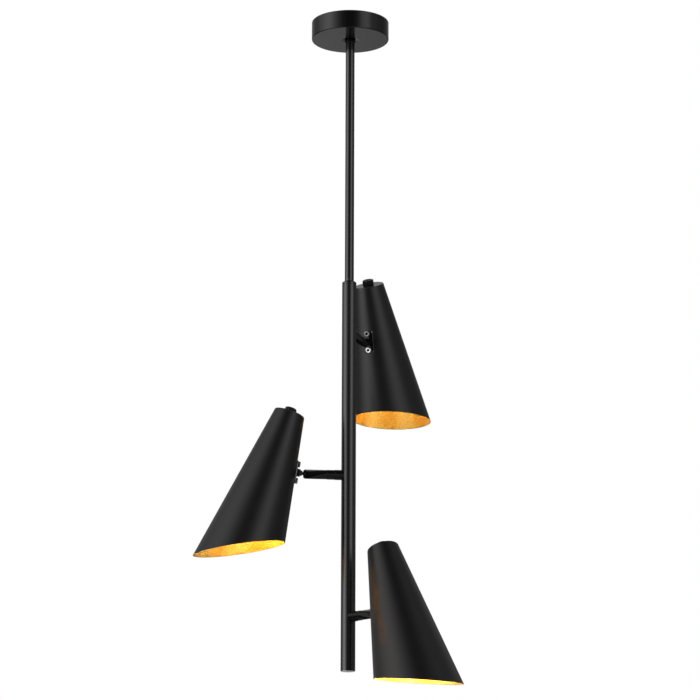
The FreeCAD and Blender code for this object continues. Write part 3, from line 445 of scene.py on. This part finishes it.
lathe(
    "reducer_shell",
    soft(
        [(4.5, -397.6), (8.5, -397.6), (8.5, -385.6), (10, -385.6), (10, -382.6), (8, -380.6), (6.35, -380.6), (6.35, -388.6), (4.5, -388.6), (4.5, -397.6)],
        [0, 0, 0, 0.3, 0.35, 0.35, 0.1, 0, 0, 0],
        seg=4, support=0.15,
    )[:-1],
    [SATIN], seg=96, replaces=["reducer_cap"], slot="satin_black",
)
lathe(
    "tube_shell",
    soft(
        [(8.5, -923.6), (10, -923.6), (10, -385.6), (8.5, -385.6), (8.5, -923.6)],
        [0, 0.12, 0.3, 0, 0],
        seg=4,
    )[:-1],
    [SATIN_TUBE], seg=128, most=12.0, replaces=["lower_tube"], slot="satin_black",
)
lathe(
    "tube_plug",
    soft(
        [(0, -924.5), (7.8, -924.5), (9.7, -923.85), (9.7, -923.6), (8.5, -923.6), (8.5, -915.6), (7.0, -915.6), (7.0, -923.0), (0, -923.0)],
        [0, 0.3, 0.1, 0.05, 0, 0, 0, 0.4, 0],
        seg=4, support=0.2,
    ),
    [PLUG], seg=96, closed=False, replaces=["end_cap"], slot="zinc_plate",
)

# ------------------------------------------------------------------ lamps
SEG = 192


def r_out(t):
    return TOP_R + t * TAN_A


def cut_t(r0, a):
    """Depth of the oblique cut along a cone line that starts at radius r0."""
    c = math.cos(a)
    return (AXIS_LEN + CUT * r0 * c) / (1 - CUT * TAN_A * c)


def shade_rings(a_list):
    """Outer skin from the hub to the lip, then the inner skin back to the hub."""
    outer, inner = [], []
    # flat top, outside
    flat_r = [5.1, 5.3, 8, 12, 16, 19.2]
    for r in flat_r:
        outer.append([(r * math.cos(a), r * math.sin(a), 0.0) for a in a_list])
    # rounded top edge
    turn = math.pi / 2 - ALPHA
    rad = 1.0
    back = rad * math.tan(turn / 2)
    cx, cz = TOP_R - back, -rad
    for k in range(8):
        u = turn * k / 7
        outer.append([((cx + rad * math.sin(u)) * math.cos(a), (cx + rad * math.sin(u)) * math.sin(a), cz + rad * math.cos(u)) for a in a_list])
    # cone wall down to the lip
    fr = [0.012, 0.03, 0.06] + [0.1 + 0.035 * i for i in range(25)] + [0.965, 0.985, 0.996]
    t0 = back
    for f in fr:
        ring = []
        for a in a_list:
            end = cut_t(TOP_R, a) - 0.5
            t = t0 + (end - t0) * f
            ring.append((r_out(t) * math.cos(a), r_out(t) * math.sin(a), -t))
        outer.append(ring)
    lip = []
    for step, dr in ((0.28, 0.0), (0.09, 0.08), (0.0, 0.28)):
        ring = []
        for a in a_list:
            end = cut_t(TOP_R, a)
            t = end - step
            r = r_out(t) - dr
            # stay on the cut plane where the lip is flat
            tt = min(t, AXIS_LEN + CUT * r * math.cos(a))
            ring.append((r * math.cos(a), r * math.sin(a), -tt))
        lip.append(ring)
    for step, dr in ((0.0, 0.28), (0.09, 0.08), (0.28, 0.0)):
        ring = []
        for a in a_list:
            end = cut_t(TOP_R - SKIN, a)
            t = end - step
            r = r_out(t) - SKIN + dr
            tt = min(t, AXIS_LEN + CUT * r * math.cos(a))
            ring.append((r * math.cos(a), r * math.sin(a), -tt))
        lip.append(ring)
    for f in reversed(fr):
        ring = []
        for a in a_list:
            end = cut_t(TOP_R - SKIN, a) - 0.5
            t = 2.0 + (end - 2.0) * f
            r = r_out(t) - SKIN
            ring.append((r * math.cos(a), r * math.sin(a), -t))
        inner.append(ring)
    for r, z in ((19.6, -1.35), (19.2, -1.08), (18.8, -1.0), (14, -1.0), (9, -1.0), (5.3, -1.0), (5.1, -0.98)):
        inner.append([(r * math.cos(a), r * math.sin(a), z) for a in a_list])
    return outer, lip, inner


def make_shade(lamp):
    angles = [2 * math.pi * k / SEG for k in range(SEG)]
    outer, lip, inner = shade_rings(angles)
    rings = outer + lip + inner
    verts, idx = [], []
    for ring in rings:
        row = []
        for p in ring:
            row.append(len(verts))
            verts.append(p)
        idx.append(row)
    faces, fm = [], []
    pairs = list(zip(idx, idx[1:])) + [(idx[-1], idx[0])]
    gold_from = len(outer) + 3
    for i, (a, b) in enumerate(pairs):
        new = between(a, b)
        faces += new
        is_gold = gold_from <= i < len(pairs) - 1
        fm += [1 if is_gold else 0] * len(new)
    return add_mesh(
        "shade_shell_" + lamp, verts, faces, [MATTE, GOLD], shade_frame(lamp), body=lamp + "_lamp",
        replaces=["shade_" + lamp], slot="matte_black_shade", face_mats=fm,
    )


def make_top_nut(lamp):
    spin = math.radians(15)
    ang = hex_angles(10, spin)
    flats, h = 15.0, 7.6
    rings = [circle(5.0, 0.0, ang), hexring(flats, 0.0, ang, spin, -0.15), hexring(flats, 0.15, ang, spin)]
    # chamfered crown: the wall's top follows a 42 degree cone
    slope = 1.0

    def crown(grow):
        ring = []
        for a in ang:
            r = hex_r(flats, a, spin) + grow
            ring.append((r * math.cos(a), r * math.sin(a), h - max(0.0, (r - 7.1) * slope)))
        return ring

    rings.append([(x, y, z - 0.25) for x, y, z in crown(0.0)])
    rings.append([(x, y, z - 0.04) for x, y, z in crown(-0.04)])
    rings.append(crown(-0.18))
    rings.append(circle(7.15, h - 0.08, ang))
    rings.append(circle(6.95, h, ang))
    rings.append(circle(5.5, h, ang))
    rings.append(circle(5.0, h - 0.5, ang))
    verts, idx = [], []
    for ring in rings:
        row = []
        for p in ring:
            row.append(len(verts))
            verts.append(p)
        idx.append(row)
    faces = []
    fm = []
    for i, (a, b) in enumerate(list(zip(idx, idx[1:])) + [(idx[-1], idx[0])]):
        new = between(a, b)
        faces += new
        # faces of pairs 5 to 8 are the nut's top and take the painted highlight copy; the rest take the painted shade
        # copy
        fm += [1 if 5 <= i <= 8 else 0] * len(new)
    ob = add_mesh(
        "crown_nut_" + lamp, verts, faces, [NUT_SIDES_SHADED, NUT_TOP_LIT], shade_frame(lamp), body=lamp + "_lamp",
        replaces=["shade_nut_" + lamp], slot="gloss_black", face_mats=fm,
    )
    sharpen(ob, 28)
    return ob


def sharpen(ob, degrees):
    """Marks the edges that turn by more than this as sharp, so that flats stay flat."""
    import bmesh

    bm = bmesh.new()
    bm.from_mesh(ob.data)
    bmesh.ops.recalc_face_normals(bm, faces=bm.faces)
    limit = math.radians(degrees)
    for e in bm.edges:
        if len(e.link_faces) == 2 and e.calc_face_angle(0.0) > limit:
            e.smooth = False
    bm.to_mesh(ob.data)
    bm.free()


def make_screw(lamp, z, name, steel):
    """Low flat head with a rounded rim and a hexagon socket, its shank through to the nut."""
    ang = hex_angles(8, 0.0)
    base = PLATE_OUT - 1.8
    af, deep_z = 3.6, 1.8
    head_r, tall, rim = 4.1, 2.6, 0.8
    # local Z points away from the plate
    rings = [
        [(0.0, 0.0, tall - deep_z)],
        circle(0.6, tall - deep_z, ang),
        hexring(af, tall - deep_z, ang, 0, -0.08),
        hexring(af, tall - deep_z + 0.1, ang, 0, 0.0),
        hexring(af, tall - 0.14, ang, 0, 0.0),
        circle(2.13, tall - 0.02, ang),
        circle(2.23, tall, ang),
    ]
    rings.append(circle(2.6, tall, ang))
    rings.append(circle(head_r - rim - 0.15, tall, ang))
    for k in range(0, 7):
        u = math.radians(90 - 90 * k / 6)
        rings.append(circle(head_r - rim + rim * math.cos(u), tall - rim + rim * math.sin(u), ang))
    rings.append(circle(head_r, tall - rim - 0.2, ang))
    rings.append(circle(head_r, 0.12, ang))
    rings.append(circle(head_r - 0.1, 0.0, ang))
    rings.append(circle(2.0, 0.0, ang))
    rings.append(circle(2.0, -7.2, ang))
    rings.append(circle(1.8, -7.4, ang))
    rings.append([(0.0, 0.0, -7.4)])
    out = Matrix(((0, 0, -1, base), (0, 1, 0, 0), (1, 0, 0, z), (0, 0, 0, 1)))
    deep = len(ang) * 4
    ob = rings_mesh(name, rings, [steel, SOCKET], lamp_frame(lamp) @ out, body=lamp + "_lamp", slot="steel_screw")
    for poly in ob.data.polygons[:deep]:
        poly.material_index = 1
    sharpen(ob, 40)
    return ob


def make_plate(lamp):
    """Curved plate with rounded corners, lying on the shade's back."""
    half_y, half_z, corner, thick = 7.5, 16.0, 4.0, 1.8
    outline = []
    for cx, cy, a0 in ((half_y - corner, half_z - corner, 0), (-half_y + corner, half_z - corner, 90), (-half_y + corner, -half_z + corner, 180), (half_y - corner, -half_z + corner, 270)):
        for k in range(9):
            a = math.radians(a0 + 90 * k / 8)
            outline.append((cx + corner * math.cos(a), cy + corner * math.sin(a)))

    def on_cone(y, z, lift):
        """Point of the plate's skin at that height above the shade, in the lamp frame."""
        # along the shade's back the cone's radius grows downwards
        s = SO
        # solve for x so that the distance to the axis is the cone's radius plus lift
        lo, hi = PLATE_OUT - 8.0, PLATE_OUT + 14.0
        for _ in range(40):
            mid = (lo + hi) / 2
            p = Vector((mid, y, z)) - s
            t = -p.dot(SZ)
            rad = (p + SZ * t).length
            if rad > r_out(t) + lift / math.cos(ALPHA):
                lo = mid
            else:
                hi = mid
        return Vector(((lo + hi) / 2, y, z))

    def ring(f, lift, inset=0.0):
        pts = []
        for y, z in outline:
            k = 1 - inset / math.hypot(y, z)
            pts.append(on_cone(y * f * k, z * f * k, lift))
        return pts

    rings = [[on_cone(0, 0, 0.0)]]
    for f in (0.3, 0.6, 0.85):
        rings.append(ring(f, 0.0))
    rings += [ring(1.0, 0.0, 0.2), ring(1.0, 0.2)]
    # bevelled rim
    rings += [ring(1.0, thick - 1.3), ring(1.0, thick - 1.2, 0.04), ring(1.0, thick - 0.1, 1.06), ring(1.0, thick, 1.25)]
    rings.append(ring(1.0, thick, 1.6))
    for f in (0.8, 0.55, 0.28):
        rings.append(ring(f, thick))
    rings.append([on_cone(0, 0, thick)])
    ob = rings_mesh("curved_plate_" + lamp, rings, [GLOSS, PLATE_EDGE_HIGHLIGHT], lamp_frame(lamp), body=lamp + "_lamp", replaces=["shade_bracket_" + lamp], slot="gloss_black")
    # the bevel is rings 6 to 9: one ring of faces at the start has a single point. The band of faces between rings 7
    # and 8 takes a light metal colour: a painted highlight along the plate's edge.
    around = len(outline)
    for poly in ob.data.polygons[around * 7:around * 8]:
        poly.material_index = 1
    sharpen(ob, 30)
    return ob


def make_swivel(lamp):
    """Ball, waisted neck, hexagon, flange and threaded end in one turned piece."""
    ang = hex_angles(10, 0.0)
    g, pt = PLATE_OUT, 1.8
    hs = g - pt - 4.4
    rings = []
    r = 4.9
    start = math.asin(1.4 / r)
    rings.append(circle(1.4, -2.0, ang))
    for k in range(15):
        u = start + (math.pi - start - math.asin(2.2 / r)) * k / 14
        rings.append(circle(r * math.sin(u), -r * math.cos(u), ang))
    zb = r * math.cos(math.asin(2.2 / r))
    rings += [circle(2.2, zb + 0.25, ang), circle(2.2, 5.6, ang), circle(2.35, 5.95, ang), circle(2.75, 6.2, ang), circle(3.3, 6.2, ang)]
    for k in range(1, 5):
        u = math.radians(90 * k / 4)
        rings.append(circle(3.3 + 0.5 * math.sin(u), 6.7 - 0.5 * math.cos(u), ang))
    rings += [circle(3.8, hs - 0.25, ang), circle(3.8, hs - 0.02, ang)]
    rings += [circle(4.2, hs, ang), hexring(9.6, hs + 0.30, ang, 0, -0.05), hexring(9.6, hs + 0.45, ang), hexring(9.6, hs + 3.0, ang), hexring(9.6, hs + 3.15, ang, 0, -0.1)]
    rings += [circle(4.6, hs + 3.4, ang), circle(5.35, hs + 3.4, ang), circle(5.55, hs + 3.5, ang), circle(5.6, hs + 3.7, ang), circle(5.6, hs + 4.2, ang), circle(5.5, hs + 4.4, ang)]
    rings += [circle(2.9, hs + 4.4, ang), circle(2.9, g + 6.2, ang), circle(2.6, g + 6.4, ang), circle(1.4, g + 6.4, ang)]
    rings += [circle(1.4, -2.0, ang)]
    ob = rings_mesh("ball_joint_" + lamp, rings[:-1], [GLOSS], lamp_frame(lamp) @ ALONG_X, body=lamp + "_lamp", replaces=["swivel_" + lamp], slot="gloss_black")
    sharpen(ob, 35)
    return ob


def make_arm(lamp):
    M = arm_frame(lamp) @ ALONG_X
    made = []
    # the collar is saddled on the tube, so its inner end follows the tube's round
    seg = 96
    inner, outer = 4.0, 7.0
    rings = []
    end = 19.25

    def saddle(r, a, lift=0.0):
        # local x is -Z of the arm frame, local y is its Y
        side = r * math.sin(a)
        return math.sqrt(max(0.0, 10.0 ** 2 - side * side)) + lift

    def ring(r, z):
        return [(r * math.cos(2 * math.pi * k / seg), r * math.sin(2 * math.pi * k / seg), z) for k in range(seg)]

    def saddle_ring(r, lift):
        return [(r * math.cos(2 * math.pi * k / seg), r * math.sin(2 * math.pi * k / seg), saddle(r, 2 * math.pi * k / seg, lift)) for k in range(seg)]

    rings.append(saddle_ring(inner, 0.0))
    rings.append(saddle_ring(outer - 0.25, 0.0))
    rings.append(saddle_ring(outer - 0.07, 0.1))
    rings.append(saddle_ring(outer, 0.3))
    rings.append(saddle_ring(outer, 0.7))
    rings.append(ring(outer, 14.0))
    rings.append(ring(outer, end - 0.8))
    for k in range(6):
        u = math.radians(90 * k / 5)
        rings.append(ring(outer - 0.5 + 0.5 * math.cos(u), end - 0.5 + 0.5 * math.sin(u)))
    rings.append(ring(inner, end))
    verts, idx = [], []
    for rg in rings:
        row = []
        for p in rg:
            row.append(len(verts))
            verts.append(p)
        idx.append(row)
    faces = []
    for a, b in list(zip(idx, idx[1:])) + [(idx[-1], idx[0])]:
        faces += between(a, b)
    made.append(add_mesh("arm_collar_" + lamp, verts, faces, [GLOSS], M, slot="gloss_black"))
    made.append(
        lathe(
            "arm_ring_" + lamp,
            soft([(4, end), (6.7, end), (6.7, 30.0), (4, 30.0), (4, end)], [0, 0.4, 0.4, 0, 0], seg=5, support=0.3)[:-1],
            [GLOSS], M, seg=seg, slot="gloss_black",
        )
    )
    nose = PIVOT + 4.7
    ro = 6.4
    flare = math.tan(math.radians(26.0))
    mouth = 2.2 / math.cos(math.radians(26.0)) + 0.15
    seat_r = 4.95
    round_r = 3.3
    pts = soft([(4, 30.0), (ro, 30.0), (ro, nose - round_r), (ro - 0.01, nose - round_r + 0.1)], [0, 0.4, 0, 0], seg=5, support=0.3)[:-1]
    for k in range(13):
        u = math.radians(60.0) * k / 12
        pts.append((ro - round_r + round_r * math.cos(u), nose - round_r + round_r * math.sin(u)))
    pts += [(mouth + 4.12 * flare, PIVOT + 4.12), (mouth + 3.6 * flare, PIVOT + 3.6), (mouth + 3.45 * flare, PIVOT + 3.45)]
    for k in range(7):
        u = math.asin(min(1.0, (mouth + 3.4 * flare) / seat_r)) + (math.pi / 2 - math.asin(min(1.0, (mouth + 3.4 * flare) / seat_r))) * k / 6
        pts.append((seat_r * math.sin(u), PIVOT + seat_r * math.cos(u)))
    pts += [(5.1, PIVOT - 0.8), (5.1, PIVOT - 13.4), (4, PIVOT - 13.4)]
    made.append(lathe("arm_sleeve_" + lamp, pts, [GLOSS], M, seg=seg, slot="gloss_black"))
    return made


for lamp in ARM:
    make_shade(lamp)
    make_top_nut(lamp)
    make_plate(lamp)
    make_swivel(lamp)
    # the upper screw takes the darker steel copy as painted shade
    screws = [make_screw(lamp, 11.6, "plate_screw_top_" + lamp, STEEL_SHADED), make_screw(lamp, -11.6, "plate_screw_low_" + lamp, STEEL)]
    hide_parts("bracket_screws_" + lamp)
    make_arm(lamp)
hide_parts("arm_collars")
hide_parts("arm_rings")
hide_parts("arm_sleeves")

# ------------------------------------------------------------------ camera
cam_data = bpy.data.cameras.new("camera")
cam = bpy.data.objects.new("camera", cam_data)
scene.collection.objects.link(cam)
cam_data.sensor_width = 36.0
cam_data.lens = 2498.784 / 700 * 36
cam_data.shift_x = 0.0
cam_data.shift_y = 0.04
cam_data.clip_start = 0.05
cam_data.clip_end = 100.0
pitch = math.radians(11.9725)
roll = math.radians(0.2099)
cam.matrix_world = (
    Matrix.Translation((0.001447, -3.38840, -1.23677))
    @ Matrix.Rotation(math.pi / 2 + pitch, 4, "X")
    @ Matrix.Rotation(roll, 4, "Z")
)
scene.camera = cam

# ------------------------------------------------------------------ floor, lights, surroundings
floor_mat, nt, b = new_material("pale_floor")
n = put(nt, "ShaderNodeTexNoise", in_Scale=3.0, in_Detail=3.0)
nt.links.new(put(nt, "ShaderNodeTexCoord").outputs["Object"], n.inputs["Vector"])
nt.links.new(ramp(nt, n.outputs["Fac"], [(0.3, (0.84, 0.84, 0.84)), (0.7, (0.88, 0.88, 0.88))]), b.inputs["Base Color"])
b.inputs["Roughness"].default_value = 0.8
fm = bpy.data.meshes.new("floor")
fv = [(12 * math.cos(2 * math.pi * k / 64), 12 * math.sin(2 * math.pi * k / 64), -8.5) for k in range(64)]
fm.from_pydata(fv, [], [tuple(range(64))])
fm.materials.append(floor_mat)
floor = bpy.data.objects.new("floor", fm)
scene.collection.objects.link(floor)


def softbox(name, azimuth, distance, low, high, width, radiance, colour=(1, 1, 1)):
    """An upright panel facing the lamp; azimuth 0 is the photographed front, positive to the right."""
    a = math.radians(azimuth)
    d = bpy.data.lights.new(name, "AREA")
    d.shape = "RECTANGLE"
    d.size, d.size_y = width, high - low
    d.energy = radiance * math.pi * width * (high - low)
    d.color = colour
    o = bpy.data.objects.new(name, d)
    scene.collection.objects.link(o)
    pos = Vector((math.sin(a) * distance, -math.cos(a) * distance, (low + high) / 2))
    o.location = pos
    look = Vector((-pos.x, -pos.y, 0))
    o.rotation_mode = "QUATERNION"
    o.rotation_quaternion = look.to_track_quat("-Z", "Y")
    o.visible_camera = False
    return o


softbox("softbox_left", -70, 2.6, -0.9, 1.3, 1.5, 0.3)
softbox("softbox_right", 46, 2.6, -0.05, 1.4, 1.3, 0.15)

# the studio's walls: large soft panels at left and right, a dark gap in front, dim white behind
SKY_TOP = 4.0
SKY = [
    (-60, [(-160, 0.9), (-120, 0.0), (120, 0.0), (160, 0.9)]),
    (-30, [(-165, 0.55), (-135, 0.1), (-105, 0.12), (-75, 0.45), (-45, 0.0), (-15, 0.0), (15, 0.05), (45, 0.7), (75, 0.5), (105, 0.15), (135, 0.2), (165, 0.55)]),
    (-5, [(-173, 0.45), (-143, 0.45), (-120, 0.0), (-98, 0.0), (-83, 1.25), (-68, 2.8), (-53, 3.6), (-38, 2.3), (-23, 0.4), (-8, 0.0), (7, 0.0), (22, 1.15), (37, 2.0), (52, 1.05), (67, 0.05), (95, 0.1), (120, 0.28), (150, 0.05), (173, 0.1)]),
    (15, [(-173, 0.11), (-143, 0.23), (-113, 0.35), (-98, 1.1), (-83, 1.6), (-68, 2.3), (-53, 1.6), (-38, 0.5), (-23, 0.05), (8, 0.05), (22, 0.3), (37, 1.5), (52, 1.7), (67, 0.34), (90, 0.2), (140, 0.12), (157, 0.2), (173, 0.05)]),
    (35, [(-175, 1.1), (-158, 0.7), (-143, 0.6), (-128, 0.2), (-113, 0.75), (-98, 0.9), (-83, 1.3), (-68, 1.8), (-53, 1.75), (-38, 1.25), (-23, 0.4), (-8, 0.0), (22, 0.0), (37, 0.6), (52, 1.1), (67, 1.2), (82, 0.95), (97, 0.4), (115, 0.12), (145, 0.4), (175, 1.1)]),
    (70, [(-150, 0.1), (-45, 0.0), (45, 0.1), (150, 0.06)]),
]

world = bpy.data.worlds.new("surroundings")
scene.world = world
world.use_nodes = True
nt = world.node_tree
nt.nodes.clear()


def math_node(kind, *values):
    n = nt.nodes.new("ShaderNodeMath")
    n.operation = kind
    for k, v in enumerate(values):
        if isinstance(v, (int, float)):
            n.inputs[k].default_value = v
        else:
            nt.links.new(v, n.inputs[k])
    return n.outputs[0]


out = nt.nodes.new("ShaderNodeOutputWorld")
co = nt.nodes.new("ShaderNodeTexCoord")
sep = nt.nodes.new("ShaderNodeSeparateXYZ")
nt.links.new(co.outputs["Generated"], sep.inputs["Vector"])
azimuth = math_node("ARCTAN2", sep.outputs["X"], math_node("MULTIPLY", sep.outputs["Y"], -1.0))
around = math_node("MULTIPLY_ADD", azimuth, 0.5 / math.pi, 0.5)
upward = math_node("MULTIPLY_ADD", math_node("ARCSINE", sep.outputs["Z"]), 1.0 / math.pi, 0.5)
total = None
for i, (elevation, stops) in enumerate(SKY):
    hat = []
    if i > 0:
        hat.append(((SKY[i - 1][0] + 90) / 180, 0.0))
    else:
        hat.append((0.0, 1.0))
    hat.append(((elevation + 90) / 180, 1.0))
    if i < len(SKY) - 1:
        hat.append(((SKY[i + 1][0] + 90) / 180, 0.0))
    else:
        hat.append((1.0, 1.0))
    weight = ramp(nt, upward, hat)
    level = ramp(nt, around, [((a + 180) / 360, v / SKY_TOP) for a, v in stops])
    total = math_node("MULTIPLY", weight, level) if total is None else math_node("MULTIPLY_ADD", weight, level, total)
bg_env = nt.nodes.new("ShaderNodeBackground")
nt.links.new(total, bg_env.inputs["Color"])
bg_env.inputs["Strength"].default_value = SKY_TOP
bg_cam = nt.nodes.new("ShaderNodeBackground")
bg_cam.inputs["Color"].default_value = (1, 1, 1, 1)
bg_cam.inputs["Strength"].default_value = 1.0
lp = nt.nodes.new("ShaderNodeLightPath")
mix = nt.nodes.new("ShaderNodeMixShader")
nt.links.new(lp.outputs["Is Camera Ray"], mix.inputs["Fac"])
nt.links.new(bg_env.outputs[0], mix.inputs[1])
nt.links.new(bg_cam.outputs[0], mix.inputs[2])
nt.links.new(mix.outputs[0], out.inputs["Surface"])

scene.view_settings.view_transform = "Standard"
scene.view_settings.look = "None"
scene.view_settings.exposure = 0.0
scene.view_settings.gamma = 1.0
